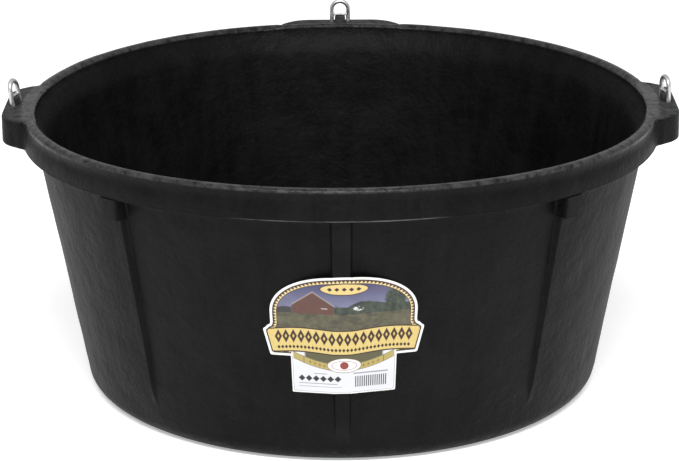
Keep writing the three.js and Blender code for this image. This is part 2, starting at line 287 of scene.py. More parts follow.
for index, (radius, height) in enumerate(skirt_rings):
    lug_radius, lug_height = over_lug[index]
    out = mix(radius, lug_radius, lug_share)
    if index == flash_ring:
        wander = np.array([noise.noise((t * 0.9, 3.1, 0.0)) for t in top_turn])
        out = out + flash * np.clip(0.6 + 0.9 * wander, 0.15, 1) * (1 - lug_share) * 0.8
    add_ring(out, mix(height, lug_height, lug_share))
under = rings[-1][0]
under_height = rings[-1][1]

# Outside wall with its ribs and stop blocks, then the rounded base and the underside.
proud = spread(skirt_foot - 0.4)[1]
for share in (0.35, 0.7, 0.93):
    add_ring(mix(under, wall_top_radius + proud, share), mix(under_height, skirt_foot - 0.2, share))
stop_foot = skirt_foot - stop_height
wall_heights = [skirt_foot - drop for drop in (0.4, 1.0, 2.2, 4.5, 8.0, 11.5, 14.0)]
wall_heights += [stop_foot + rise for rise in (0.9, 0.5, 0.2, -0.1, -0.4, -0.7, -1.1, -2.5, -6.0)]
wall_heights += list(np.linspace(stop_foot - 12, 48, 15))
wall_heights += [44, 40.5, 37, 34, 31, 28, 25.5, 23, 20.5, 18, 16, 14, 12]
for height in wall_heights:
    turn, proud = spread(height)
    soft_top = 1.2 * (1 - ease(skirt_foot - height, 0.0, 3.5))
    add_ring(wall_radius(height) + np.maximum(proud, soft_top * (1 - lift)), height, turn)
foot_turn = spread(12)[0]
foot_centre = base_radius - base_round * (1 - math.sin(lean)) / math.cos(lean)
for radius, height in arc((foot_centre, base_round), base_round, -math.degrees(lean), -90, 9):
    add_ring(radius, height, foot_turn)
for radius in (168, 150, 120, 85, 50, 22):
    add_ring(radius, 0.0, foot_turn)


def uneven(point, size):
    """Slow unevenness of a rubber moulding at a point, between -1 and 1."""
    return noise.noise(point / size) * 1.3


def turn_point(turn, radius, height):
    angle = np.radians(turn)
    return np.stack([radius * np.sin(angle), -radius * np.cos(angle), height], -1)


ring_points = np.array([turn_point(turn, radius, height) for radius, height, turn in rings])
ring_count, column_count = ring_points.shape[:2]
points = [Vector(p) for p in ring_points.reshape(-1, 3)]
for number, point in enumerate(points):
    ring = number // column_count
    slow = uneven(point, 55.0) * 0.6 + uneven(point, 17.0) * 0.4
    flat = Vector((point.x, point.y, 0)).normalized()
    radius = math.hypot(point.x, point.y)
    if point.z > rim_height - 8 or radius > wall_top_radius + 1:
        inward = 0.22 * (slow + 1)
        point -= flat * inward
        if point.z > lug_top - 0.1:
            point.z -= 0.16 * (slow + 1)
    elif point.z > floor_thickness + 3:
        point += flat * 0.5 * slow
    elif point.z > 1 or ring < ring_count // 2:
        point.z += 0.35 * slow * float(ease(point.z, 1, 5))
    if radius > 1:
        drop = sag((point.x / radius) ** 2, max(-point.y / radius, 0))
        point.z -= drop * float(ease(point.z, 60, 205))
points.append(Vector((0, 0, floor_thickness)))
points.append(Vector((0, 0, 0)))

faces = []
for ring in range(ring_count - 1):
    for column in range(column_count):
        beside = (column + 1) % column_count
        a, b = ring * column_count + column, ring * column_count + beside
        faces.append((a, b, b + column_count, a + column_count))
top_pole, bottom_pole = len(points) - 2, len(points) - 1
last = (ring_count - 1) * column_count
for column in range(column_count):
    beside = (column + 1) % column_count
    faces.append((top_pole, beside, column))
    faces.append((bottom_pole, last + column, last + beside))


def make_piece(name, points, faces, sharp=40):
    """A mesh object from points in millimetres, smooth except at edges bent more than sharp."""
    mesh = bpy.data.meshes.new(name)
    mesh.from_pydata([tuple(c * MM for c in p) for p in points], [], faces)
    mesh.validate()
    mesh.polygons.foreach_set("use_smooth", [True] * len(mesh.polygons))
    mesh.set_sharp_from_angle(angle=math.radians(sharp))
    piece = bpy.data.objects.new(name, mesh)
    bpy.context.scene.collection.objects.link(piece)
    return piece


tub = make_piece("tub_moulding", points, faces)


# Where a loop stands: its own across, in and up directions, drawn about the middle of its two
# legs at the lug's top face.
loop_inset = 8.0
loop_radius = lug_reach - loop_inset
loop_yaw = {"left": -16, "back": 0, "right": 16}
loop_lean = {"left": 0.13, "back": 0.0, "right": 0.0}
leg_across = 6.6
rod_radius = 1.7
bar_height = 6.1


def on_lug(points, side):
    """Places points drawn about a loop's own centre onto that side's lug."""
    turn = Matrix.Rotation(math.radians(lug_turns[side] - 180), 4, "Z")
    drop = 0.0 if side == "back" else side_drop
    place = Matrix.Translation((0, loop_radius, lug_top - drop))
    yaw = Matrix.Rotation(math.radians(loop_yaw[side]), 4, "Z")
    whole = turn @ place
    bent = [yaw @ Vector(p) for p in points]
    return [whole @ (p + Vector((0, loop_lean[side] * max(p.z, 0), 0))) for p in bent]


def stack(sections, closed=True):
    """Faces of a body whose outlines, all of one length, are stacked from bottom to top."""
    count = len(sections[0])
    points = [p for section in sections for p in section]
    faces = []
    for level in range(len(sections) - 1):
        for i in range(count):
            a, b = level * count + i, level * count + (i + 1) % count
            faces.append((a, b, b + count, a + count))
    if closed:
        faces.append(tuple(range(count - 1, -1, -1)))
        faces.append(tuple(range(len(points) - count, len(points))))
    return points, faces


def ring_points_at(centre, radius, height, sides=28):
    return [
        (centre[0] + radius * math.cos(a), centre[1] + radius * math.sin(a), height)
        for a in np.linspace(0, 2 * math.pi, sides, endpoint=False)
    ]


def soft_rectangle(half_x, half_y, height, power=4.0, sides=36):
    """Rounded rectangle as a superellipse."""
    section = []
    for a in np.linspace(0, 2 * math.pi, sides, endpoint=False):
        c, s = math.cos(a), math.sin(a)
        size = (abs(c / half_x) ** power + abs(s / half_y) ** power) ** (-1 / power)
        section.append((c * size, s * size, height))
    return section


# The mould leaves a small pad between the legs of each loop, and the legs' holes are dimpled.
pad_foot = (4.4, 3.0)
pad_top = bar_height - 1.0
pad_levels = [(-2, 0.0), (-0.4, 0.0), (0.0, 0.0), (2.0, 0.15), (4.0, 0.3), (4.7, 0.45), (5.0, 0.8)]
pad_levels.append((pad_top, 1.3))
hole_levels = [(-26, 2.0), (-21.4, 2.0), (-20.8, 2.6), (-20.4, 2.0), (-2.2, 2.0), (-1.0, 2.2)]
hole_levels += [(-0.35, 2.6), (0.6, 3.3)]
tools = []
for side in lug_turns:
    sections = []
    for z, inset in pad_levels:
        sections.append(soft_rectangle(pad_foot[0] - inset, pad_foot[1] - inset, z))
    pad_points, pad_faces = stack(sections)
    tools.append((make_piece("pad_" + side, on_lug(pad_points, side), pad_faces), "UNION"))
    for across in (-leg_across, leg_across):
        sections = [ring_points_at((across, 0), radius, z) for z, radius in hole_levels]
        hole_points, hole_faces = stack(sections)
        tools.append((make_piece("hole", on_lug(hole_points, side), hole_faces), "DIFFERENCE"))
for tool, operation in tools:
    step = tub.modifiers.new(operation, "BOOLEAN")
    step.object = tool
    step.operation = operation
    step.solver = "MANIFOLD"
bpy.context.view_layer.update()
shaped = bpy.data.meshes.new_from_object(tub.evaluated_get(bpy.context.evaluated_depsgraph_get()))
tub.modifiers.clear()
tub.data = shaped
shaped.polygons.foreach_set("use_smooth", [True] * len(shaped.polygons))
shaped.set_sharp_from_angle(angle=math.radians(40))
for tool, operation in tools:
    bpy.data.objects.remove(tool)


class Value:
    """A shader socket. Arithmetic on it adds the Math node for each step."""

    def __init__(self, tree, socket=None):
        self.tree = tree
        self.socket = socket

    def node(self, kind, settings=None, sockets=None, output=0):
        """Adds a node: settings first, then the value or link of each socket."""
        made = self.tree.nodes.new(kind)
        for name, value in (settings or {}).items():
            if name == "stops":
                ramp = made.color_ramp
                while len(ramp.elements) < len(value):
                    ramp.elements.new(0.5)
                for element, (position, colour) in zip(ramp.elements, value):
                    element.position = position
                    element.color = (*colour, 1.0)
            else:
                setattr(made, name, value)
        for name, value in (sockets or {}).items():
            if isinstance(value, Value):
                self.tree.links.new(value.socket, made.inputs[name])
            else:
                made.inputs[name].default_value = value
        return Value(self.tree, made.outputs[output])

    def math(self, operation, *others):
        sockets = dict(enumerate((self, *others)))
        return self.node("ShaderNodeMath", {"operation": operation}, sockets)

    def __add__(self, other):
        return self.math("ADD", other)

    __radd__ = __add__

    def __sub__(self, other):
        return self.math("SUBTRACT", other)

    def __rsub__(self, other):
        return self.node("ShaderNodeMath", {"operation": "SUBTRACT"}, {0: other, 1: self})

    def __mul__(self, other):
        return self.math("MULTIPLY", other)

    __rmul__ = __mul__

    def __truediv__(self, other):
        return self.math("DIVIDE", other)

    def __pow__(self, other):
        return self.math("POWER", other)

    def above(self, edge, blur):
        """1 where the value is over edge, 0 where it is under, with a soft step."""
        return self.node(
            "ShaderNodeMapRange",
            {"interpolation_type": "SMOOTHSTEP"},
            {"Value": self - edge, "From Min": -blur, "From Max": blur},
        )

    def within(self, low, high, blur):
        return self.above(low, blur) * (1 - self.above(high, blur))

    def tint(self, under, over):
        """The colour under where this mask is 0, and over where it is 1."""
        colours = [c if isinstance(c, Value) else (*c, 1.0) for c in (under, over)]
        sockets = {0: self, 6: colours[0], 7: colours[1]}
        return self.node("ShaderNodeMix", {"data_type": "RGBA"}, sockets, 2)

    def noise(self, scale, detail=2.0, roughness=0.5):
        """Fractal noise from 0 to 1 over this place; scale is features per metre."""
        sockets = {"Vector": self, "Scale": scale, "Detail": detail, "Roughness": roughness}
        return self.node("ShaderNodeTexNoise", {}, sockets)

    def stretched(self, x, y, z):
        sockets = {0: self, 1: (x, y, z)}
        return self.node("ShaderNodeVectorMath", {"operation": "MULTIPLY"}, sockets)

    def axis(self, name):
        return self.node("ShaderNodeSeparateXYZ", {}, {0: self}, name)

    def bump(self, distance, normal=None):
        """Normal of a surface raised by this height, in metres per unit."""
        sockets = {"Strength": 1.0, "Distance": distance, "Height": self}
        if normal:
            sockets["Normal"] = normal
        return self.node("ShaderNodeBump", {}, sockets)

    def feed(self, shader, socket):
        self.tree.links.new(self.socket, shader.inputs[socket])


def new_finish(name):
    """A material, its shader, and a Value for the place of each point in metres."""
    material = bpy.data.materials.new(name)
    material.use_nodes = True
    shader = material.node_tree.nodes["Principled BSDF"]
    place = Value(material.node_tree).node("ShaderNodeTexCoord", output="Object")
    return material, shader, place


# Rubber finish: dull black with a slow mottle, faint streaks down the walls where the mould
# release ran, fine grain, the rim crest and lug tops greyed partly by wear and partly by a painted
# highlight, and a pale torn edge on the flash line with a painted highlight at the front.
# Heights and radii are metres here.
rubber, shader, place = new_finish("black_rubber")
mottle = place.noise(26, 4, 0.62)
patches = place.noise(9, 2)
streaks = place.stretched(1, 1, 0.08).noise(95, 3)
grain = place.noise(1500, 2)
pebble = place.noise(420, 3, 0.6)
height = place.axis("Z")
aside = place.axis("X") * place.axis("X")
reach = (aside + place.axis("Y") * place.axis("Y")).math("SQRT")
leaning = aside / (reach * reach + 1e-6)
forward = (place.axis("Y") / reach * -1).math("MAXIMUM", 0.0)
level = height + sag(leaning, forward) * MM
tone = (mottle * 0.3 + streaks * 0.25 + patches * 0.15 + pebble * 0.3).above(0.5, 0.13)
colour = tone.tint((0.0014, 0.0014, 0.0016), (0.0052, 0.0051, 0.0055))
on_crest = level.above(0.2058, 0.0012) * (1 - reach.above(0.2330, 0.0010))
# Painted highlight, partly real wear: everything above the crest line, the rim crest and the lug
# tops alike, is greyed where these top faces catch the light.
top_wear_and_sheen = level.above(0.2072, 0.0007) * place.noise(160, 4, 0.7).above(0.46, 0.22)
in_front = forward.above(0.962, 0.022)
# Painted highlight, partly real pale flash: the flash fin is lightened only at the front of the
# tub, where it catches the light.
flash_pale_and_glint = level.within(0.1877, 0.1887, 0.0002) * reach.above(0.2314, 0.0003) * in_front
flash_pale_and_glint = flash_pale_and_glint * (0.35 + 0.65 * place.noise(60, 3, 0.6).above(0.45, 0.15))
foot_scuff = (1 - height.above(0.006, 0.006)) * place.noise(210, 4, 0.7).above(0.56, 0.1) * 0.5
colour = foot_scuff.tint(colour, (0.045, 0.044, 0.042))
colour = top_wear_and_sheen.tint(colour, (0.042, 0.042, 0.042))
colour = flash_pale_and_glint.tint(colour, (0.090, 0.089, 0.088))
colour.feed(shader, "Base Color")
rough = 0.42 + 0.16 * mottle + 0.1 * streaks - 0.06 * pebble
(rough * (1 - 0.6 * on_crest)).feed(shader, "Roughness")
waves = (mottle * 0.6 + patches * 0.4).bump(0.0040)
skin = (streaks * 0.3 + pebble * 0.5 + grain * 0.2).bump(0.0005, waves)
skin.feed(shader, "Normal")
shader.inputs["Specular IOR Level"].default_value = 0.085
tub.data.materials.clear()
tub.data.materials.append(rubber)
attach(tub, "root")
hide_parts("tub")


# Card: printed and die-cut coated paper, glued to the front wall and bent over the centre rib.
card_foot = 56.5
card_height = 89.5
tab_half = 36.2
arch_half = 49.2
arch_foot = 60.5
arch_power = 2.15
band = {"half": 54.5, "foot_half": 50.5, "foot": 28.0, "top": 50.5, "tip": 46.0}
card_shift = 1.2
card_tilt = math.tan(math.radians(0.8))
card_gap = 0.2
card_thick = 0.35
card_step = 1.5
map_scale = 100
map_shift = 0.6
gap_scale = 10


def card_outline():
    """Right half of the card's edge from the foot up to the top, as (across, up)."""
    edge = [(0, 0), (tab_half - 0.5, 0), (tab_half, 0.5), (tab_half, band["foot"] - 0.4)]
    edge += [(tab_half + 0.5, band["foot"])]
    edge += arc((band["foot_half"] - 1.2, band["foot"] + 1.6), 1.6, -90, -22, 4)
    edge += arc((band["half"] - 1.8, band["tip"] + 1.0), 1.8, -15, 80, 6)
    edge += [(arch_half + 2.2, band["top"] + 0.2), (arch_half + 0.7, band["top"] + 0.9)]
    edge += [(arch_half, band["top"] + 2.4), (arch_half, arch_foot)]
    for a in np.linspace(3, 90, 34):
        c, s = math.cos(math.radians(a)), math.sin(math.radians(a))
        across = arch_half * c ** (2 / arch_power)
        edge.append((across, arch_foot + (card_height - arch_foot) * s ** (2 / arch_power)))
    return edge


def fine_edge(edge, spacing):
    """The same closed edge with points no further apart than spacing."""
    fine = []
    for (ax, ay), (bx, by) in zip(edge, edge[1:] + edge[:1]):
        steps = max(1, math.ceil(math.hypot(bx - ax, by - ay) / spacing))
        fine += [(mix(ax, bx, i / steps), mix(ay, by, i / steps)) for i in range(steps)]
    return fine


def edge_gap(points, edge):
    """Distance of each point from a closed edge."""
    start = np.array(edge)
    side = np.roll(start, -1, axis=0) - start
    offset = np.array(points)[:, None, :] - start[None]
    share = np.clip((offset * side).sum(-1) / (side**2).sum(-1), 0, 1)
    return np.linalg.norm(offset - share[..., None] * side, axis=-1).min(1)


def card_radius(angle, height):
    """Radius of the card's back: flat over the rib, then straight until it meets the wall."""
    wall = wall_radius(height) + card_gap
    rise = (height - WIDE["foot"]) / (skirt_foot - WIDE["foot"])
    face = wall + mix(*WIDE["proud"], rise)
    half = mix(*WIDE["face"], rise) / 2 + 1
    edge = math.atan(half / face)
    touch = edge + math.acos(wall * math.cos(edge) / face)
    turn = abs(angle)
    if turn < edge:
        return face / math.cos(turn)
    return wall / math.cos(max(touch - turn, 0))


half_edge = card_outline()
other_half = [(-x, y) for x, y in reversed(half_edge[1:-1])]
whole_edge = fine_edge(half_edge[1:] + other_half, card_step)
grid = [(x, y) for x in np.arange(-54, 54.5, card_step) for y in np.arange(0.7, 89, card_step)]
card_flat = geometry.delaunay_2d_cdt(
    [Vector(p) for p in whole_edge + grid], [], [tuple(range(len(whole_edge)))], 1, 1e-4
)
flat_points = [(p.x, p.y) for p in card_flat[0]]
flat_faces = [tuple(face) for face in card_flat[2]]
middle_radius = wall_radius(card_foot + card_height / 2)
gap = edge_gap(flat_points, whole_edge)


def card_point(across, up, lift):
    height = card_foot + up + across * card_tilt
    angle = (across + card_shift) / middle_radius
    ripple = 0.12 * noise.noise((across / 14, up / 14, 0.4))
    radius = card_radius(angle, height) + lift + ripple
    return (radius * math.sin(angle), -radius * math.cos(angle), height)


front = [card_point(x, y, card_thick) for x, y in flat_points]
back = [card_point(x, y, 0.0) for x, y in flat_points]
count = len(flat_points)
edge_use = {}
for face in flat_faces:
    for a, b in zip(face, face[1:] + face[:1]):
        edge_use[(a, b)] = edge_use.get((a, b), 0) + 1
rim_edges = [(a, b) for a, b in edge_use if (b, a) not in edge_use]
card_faces = list(flat_faces) + [tuple(count + i for i in reversed(f)) for f in flat_faces]
card_faces += [(b, a, a + count, b + count) for a, b in rim_edges]
card = make_piece("printed_card", front + back, card_faces, 50)
print_map = card.data.uv_layers.new(name="print")
edge_map = card.data.uv_layers.new(name="edge")
for loop in card.data.loops:
    at = loop.vertex_index % count
    x, y = flat_points[at]
    print_map.data[loop.index].uv = (x / map_scale + map_shift, y / map_scale)
    edge_map.data[loop.index].uv = (gap[at] / gap_scale, 0.5)


def rgb(red, green, blue):
    """A print colour given from 0 to 255 as linear light."""
    return tuple(((c / 255 + 0.055) / 1.055) ** 2.4 for c in (red, green, blue))


# Print: a plain country picture in an arch with a toothed edging, a yellow banner with a frieze of
# lozenges, a ribbon with a blank oval, and a pale tab with rules and a hatched panel. Lengths are
# millimetres across from the card's middle and up from its foot.
paper, shader, place = new_finish("card_print")
start = Value(paper.node_tree)
chart = start.node("ShaderNodeUVMap", {"uv_map": "print"})
across = (chart.axis("X") - map_shift) * map_scale
up = chart.axis("Y") * map_scale
inset = start.node("ShaderNodeUVMap", {"uv_map": "edge"}).axis("X") * gap_scale
SOFT = 0.16

brown = rgb(52, 32, 24)
white = rgb(248, 247, 245)
cream = rgb(236, 214, 158)


def oval(x, y, half_x, half_y, blur=0.05):
    """1 inside an ellipse on the print."""
    reach = ((across - x) / half_x) ** 2 + ((up - y) / half_y) ** 2
    return 1 - reach.above(1.0, blur)


def square(value):
    return value * value


def block(x0, x1, y0, y1):
    return across.within(x0, x1, SOFT) * up.within(y0, y1, SOFT)


def lozenges(x0, pitch, half_x, row, half_y):
    """A row of lozenges from x0 on, each pitch apart, along a row height that may wave."""
    step = ((across - x0) / pitch).math("FRACT")
    side = (step - 0.5).math("ABSOLUTE") * (pitch / half_x)
    rise = (up - row).math("ABSOLUTE") / half_y
    return 1 - (side + rise).above(1.0, 0.12)


wave = ((across - 30) * (math.pi / 30)).math("COSINE")
banner_top = 50.0 + 0.9 * wave - square(across / 50) * 0.9
banner_foot = 30.5 + 0.9 * wave
over_banner = (up - banner_top).above(0, SOFT)
under_banner = 1 - (up - banner_foot).above(0, SOFT)
in_border = inset.above(1.7, SOFT)

# Picture: dull sky, far trees, one big tree, a shed of upright boards, pale rocks and a field.
blotch = place.noise(210, 4, 0.6)
sky_share = ((up - 62) / 24).above(0.5, 0.5)
sky = sky_share.tint(rgb(126, 130, 158), rgb(70, 68, 108))
cloud = place.noise(75, 3).above(0.56, 0.1) * 0.4
picture = cloud.tint(sky, rgb(100, 88, 118))
tree_line = 66.5 + 6.0 * (place.noise(120, 2) - 0.5) + 3.2 * across.within(4, 30, 6)
far_trees = (1 - (up - tree_line).above(0, 0.5)) * across.above(-9, 1.5)
picture = far_trees.tint(picture, blotch.above(0.5, 0.2).tint(rgb(38, 46, 42), rgb(72, 82, 66)))
big_tree = oval(34, 71, 7.0, 8.0, 0.3) * blotch.above(0.34, 0.12)
picture = big_tree.tint(picture, blotch.above(0.52, 0.1).tint(rgb(40, 48, 40), rgb(76, 86, 66)))
hedge = oval(-38, 62.5, 8, 3.4, 0.3)
picture = hedge.tint(picture, rgb(58, 56, 56))
gable = 1 - ((across + 20).math("ABSOLUTE") * 0.72 + up).above(78.4, 0.25)
barn = gable * across.within(-34.2, -6.2, 0.25)
boards = (across * 0.9).math("FRACT").within(0.2, 0.8, 0.25) * 0.35 + blotch * 0.5
barn_edge = 1 - ((across + 20).math("ABSOLUTE") * 0.72 + up).above(77.2, 0.25)
picture = barn.tint(picture, rgb(150, 140, 138))
barn_wall = boards.above(0.4, 0.3).tint(rgb(84, 54, 47), rgb(104, 68, 59))
picture = (barn * barn_edge).tint(picture, barn_wall)
picture = block(-14.5, -10.5, 65.3, 65.9).tint(picture, rgb(208, 202, 196))
pale_rocks = oval(9.5, 65.6, 3.2, 1.7, 0.4) * place.noise(420, 2).above(0.46, 0.05)
picture = pale_rocks.tint(picture, rgb(226, 226, 224))
field = 1 - (up - 61.2 - 1.4 * (blotch - 0.5)).above(0, 0.3)
grass = blotch.above(0.5, 0.22).tint(rgb(80, 78, 60), rgb(106, 101, 78))
dark_grass = place.stretched(1, 1, 3).noise(110, 3).above(0.57, 0.07) * 0.55
picture = field.tint(picture, dark_grass.tint(grass, rgb(58, 58, 48)))

# Toothed edging round the picture.
angle = (up - 48).math("ARCTAN2", across * 0.82)
tooth = (angle * (58 / math.pi)).math("FRACT")
tooth = (tooth - 0.5).math("ABSOLUTE") * 2
toothed = (tooth - (inset - 2.4) / 2.0).above(0, 0.12)
edging = toothed.tint(cream, rgb(84, 52, 34))
lines = inset.within(1.6, 2.5, 0.12) + inset.within(4.4, 5.0, 0.12)
edging = lines.tint(edging, brown)
picture = inset.within(1.7, 4.9, 0.1).tint(picture, edging)

# Blank name plate at the top of the arch.
plate_middle = (0.4, 80.4)
plate = oval(*plate_middle, 15.0, 3.9, 0.06)
plate_edge = oval(*plate_middle, 15.7, 4.5, 0.06)
picture = plate_edge.tint(picture, brown)
picture = plate.tint(picture, rgb(230, 204, 134))
plate_marks = lozenges(-11.1, 4.6, 1.7, plate_middle[1], 1.5) * across.within(-11.2, 12.2, 0.1)
picture = plate_marks.tint(picture, brown)

# Banner: yellow, ruled top and bottom, with a frieze of lozenges over a row of beads.
banner = (1 - over_banner) * (1 - under_banner)
banner_grain = place.noise(900, 2).above(0.5, 0.4)
gold = banner_grain.tint(rgb(216, 190, 112), rgb(230, 206, 132))
mid = (banner_top + banner_foot) * 0.5
frieze = lozenges(-46.8, 5.2, 2.5, mid + 2.6, 5.2) * across.within(-46.9, 46.9, 0.1)
frieze_core = lozenges(-46.8, 5.2, 0.8, mid + 2.6, 1.7) * across.within(-46.9, 46.9, 0.1)
beads = lozenges(-45.5, 2.6, 1.15, mid - 5.6, 1.5) * across.within(-45.6, 45.6, 0.1)
gold = frieze.tint(gold, rgb(58, 28, 20))
gold = frieze_core.tint(gold, rgb(216, 190, 112))
gold = beads.tint(gold, rgb(60, 34, 26))
banner_lines = (
    (banner_top - up).within(-0.1, 0.95, 0.12)
    + (up - banner_foot).within(-0.1, 0.95, 0.12)
    + inset.within(1.6, 2.6, 0.12)
).math("MINIMUM", 1.0)
gold = banner_lines.tint(gold, brown)

# Ribbon, the shadowed fold behind it, and the blank oval.
bow = square(across / 34) * 8.6
ribbon_top = 22.9 + bow
ribbon_foot = 17.6 + bow
on_ribbon = (up - ribbon_foot).above(0, SOFT) * (1 - (up - ribbon_top).above(0, SOFT))
on_ribbon = on_ribbon * across.within(-34.5, 34.5, SOFT)
ribbon_lines = (up - ribbon_foot).within(-0.1, 0.35, 0.1)
ribbon_lines = ribbon_lines + (ribbon_top - up).within(-0.1, 0.35, 0.1)
ribbon_lines = ribbon_lines + across.within(-27.4, -27.0, 0.1) + across.within(27.0, 27.4, 0.1)
ribbon = ribbon_lines.math("MINIMUM", 1.0).tint(rgb(186, 168, 98), rgb(92, 70, 40))
beside_oval = across.within(-24.7, -11.2, 0.1) + across.within(11.2, 24.7, 0.1)
ribbon_marks = lozenges(-24.6, 3.3, 1.0, 20.2 + bow, 1.2) * beside_oval
ribbon = ribbon_marks.tint(ribbon, rgb(150, 126, 62))
behind = (up - ribbon_top).above(0, SOFT) * across.within(-26.5, 26.5, 1.0)

# Tab below the banner: pale, with rules, studs and a hatched panel.
tab = place.noise(60, 2).tint(rgb(226, 228, 234), rgb(236, 237, 240))
tab_line = inset.within(0.95, 1.2, 0.12) * across.within(-35.4, 35.4, 0.1)
tab = tab_line.tint(tab, rgb(120, 120, 124))
tab = (1 - inset.above(0.9, SOFT)).tint(tab, white)
ink = rgb(44, 42, 44)
rules = block(-31.5, -4.5, 7.2, 7.8) + block(-31.5, -1.5, 4.9, 5.3)
rules = rules + block(-20.5, -11.5, 15.0, 15.6)
tab = (rules * 0.62).tint(tab, ink)
studs = lozenges(-31.6, 5.0, 2.4, 11.4, 2.4) * across.within(-31.7, -1.6, 0.1)
tab = studs.tint(tab, ink)
hatch = ((across - 7.4) / 1.5).math("FRACT").within(0.2, 0.68, 0.14) * block(7.4, 29.8, 5.0, 13.4)
tab = hatch.tint(tab, rgb(48, 46, 50))
tab = (block(6.4, 30.4, 15.2, 16.3) * 0.55).tint(tab, ink)
tab = behind.tint(tab, rgb(92, 88, 60))
tab = on_ribbon.tint(tab, ribbon)
oval_middle = (0.3, 22.0)
red = rgb(150, 62, 52)
tab = oval(*oval_middle, 11.6, 5.7, 0.05).tint(tab, rgb(110, 84, 50))
tab = oval(*oval_middle, 11.2, 5.3, 0.05).tint(tab, white)
tab = oval(*oval_middle, 2.9, 2.9, 0.08).tint(tab, red)
oval_ring = oval(*oval_middle, 8.6, 3.7, 0.06) - oval(*oval_middle, 8.2, 3.35, 0.06)
tab = oval_ring.tint(tab, red)

# All of it together, inside a white margin, a little dimmed by dust.
printed = in_border.tint(white, picture)
printed = (banner * in_border).tint(printed, gold)
below = under_banner * (1 - banner)
narrow = across.within(-35.9, 35.9, 0.2)
printed = (below * narrow).tint(printed, tab)
fade = place.noise(34, 3).tint((0.66, 0.66, 0.66), (0.74, 0.74, 0.74))
multiply = {"data_type": "RGBA", "blend_type": "MULTIPLY"}
printed = printed.node("ShaderNodeMix", multiply, {0: 1.0, 6: printed, 7: fade}, 2)
printed.feed(shader, "Base Color")
fibre = place.noise(1900, 2)
(0.36 + 0.12 * place.noise(160, 3) + 0.06 * fibre).feed(shader, "Roughness")
fibre.bump(0.00004, place.noise(70, 2).bump(0.0005)).feed(shader, "Normal")
shader.inputs["Specular IOR Level"].default_value = 0.4
card.data.materials.append(paper)
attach(card, "root")
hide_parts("card")


# Zinc finish for all the hanging hardware: bright plating over drawn wire and pressed strip, with
# a faint crystal mottle and dull grey spots where it is handled.
zinc, shader, place = new_finish("bright_zinc")
spots = place.noise(420, 4, 0.65)
drawn = place.stretched(1, 1, 0.2).noise(1600, 2)
dull = spots.above(0.56, 0.1)
zinc_tone = (spots * 0.6 + drawn * 0.4).above(0.5, 0.3).tint((0.50, 0.50, 0.51), (0.72, 0.72, 0.73))
(dull * 0.45).tint(zinc_tone, (0.28, 0.275, 0.27)).feed(shader, "Base Color")
(0.24 + 0.2 * spots + 0.18 * dull).feed(shader, "Roughness")
(0.96 - 0.25 * dull).feed(shader, "Metallic")
(drawn * 0.4 + spots * 0.6).bump(0.00006).feed(shader, "Normal")


def fit_piece(name, points, faces, side, node, sharp=35):
    """A steel piece drawn about its loop's centre, placed on its lug in place of a CAD node."""
    piece = make_piece(name, on_lug(points, side), faces, sharp)
    piece.data.materials.append(zinc)
    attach(piece, "root")
    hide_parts(node)
    return piece


# Loop: plated steel rod bent over into a bow. Its legs are threaded and pass through the lug.
loop_height = loop_high.z - lug_top
plate_top = skirt_foot - lug_top - 0.3
plate_thick = 2.0
nut_top = plate_top - plate_thick - 0.3
nut_thick = 3.0
rod_end = nut_top - nut_thick - 1.8
thread_top = plate_top + 2.5
thread_radius = 1.5
thread_pitch = 0.7
thread_depth = 0.22
rod_sides = 20


def rod_line():
    """Centre points of the rod, its direction across and up, and whether it is threaded there."""
    line = []
    straight = loop_height - rod_radius - leg_across
    for z in np.arange(rod_end, thread_top, thread_pitch / 6):
        line.append((-leg_across, z, 0.0, True))
    for z in np.linspace(thread_top + 0.1, straight, 22):
        line.append((-leg_across, z, 0.0, False))
    other = [(-x, z, math.pi - turn, cut) for x, z, turn, cut in line]
    for a in np.linspace(0, math.pi, 33)[1:-1]:
        line.append((-leg_across * math.cos(a), straight + leg_across * math.sin(a), a, False))
    return line + other[::-1]


def loop_mesh():
    """Skin of the rod along its line, with a thread cut on its legs and chamfered ends."""
    line = rod_line()
    sections = []
    for number, (x, z, turn, threaded) in enumerate(line):
        section = []
        from_end = min(number, len(line) - 1 - number)
        for a in np.linspace(0, 2 * math.pi, rod_sides, endpoint=False):
            radius = rod_radius
            if threaded:
                phase = (z / thread_pitch + a / (2 * math.pi) * (1 if x < 0 else -1)) % 1
                radius = thread_radius - thread_depth * abs(2 * phase - 1)
            if from_end < 3:
                radius -= 0.14 * (3 - from_end)
            out = radius * math.cos(a)
            x_out, z_out = x - out * math.cos(turn), z + out * math.sin(turn)
            section.append((x_out, radius * math.sin(a), z_out))
        sections.append(section)
    points, faces = stack(sections)
    return points, [tuple(reversed(face)) for face in faces]


# Cross bar: short strip welded between the legs, a little above the lug, with a bead at each end.
bar_half = leg_across - rod_radius + 0.4
bar_levels = [(0, 1.3, 0.7), (bar_half - 2.5, 1.3, 0.7), (bar_half - 1.6, 1.34, 0.75)]
bar_levels += [(bar_half - 1.0, 1.45, 0.9), (bar_half - 0.5, 1.6, 1.1), (bar_half, 1.65, 1.2)]


def cross_bar_mesh():
    sections = []
    steps = [(-x, y, z) for x, y, z in reversed(bar_levels[1:])] + bar_levels
    for x, half_y, half_z in steps:
        flat = soft_rectangle(half_y, half_z, 0, 4.0 if abs(x) < 4 else 2.4, 20)
        lump = 1 + 0.06 * noise.noise((x * 2.0, 0.3, 0.7)) * (abs(x) > 3.8)
        sections.append([(x, y * lump, bar_height + z * lump) for y, z, end in flat])
    return stack(sections)


# Backing plate: pressed strip under the lug with two clearance holes and rolled-over edges.
plate_half = leg_across + 7.0
plate_half_width = 5.0
plate_corner = 3.0
plate_roll = 0.35


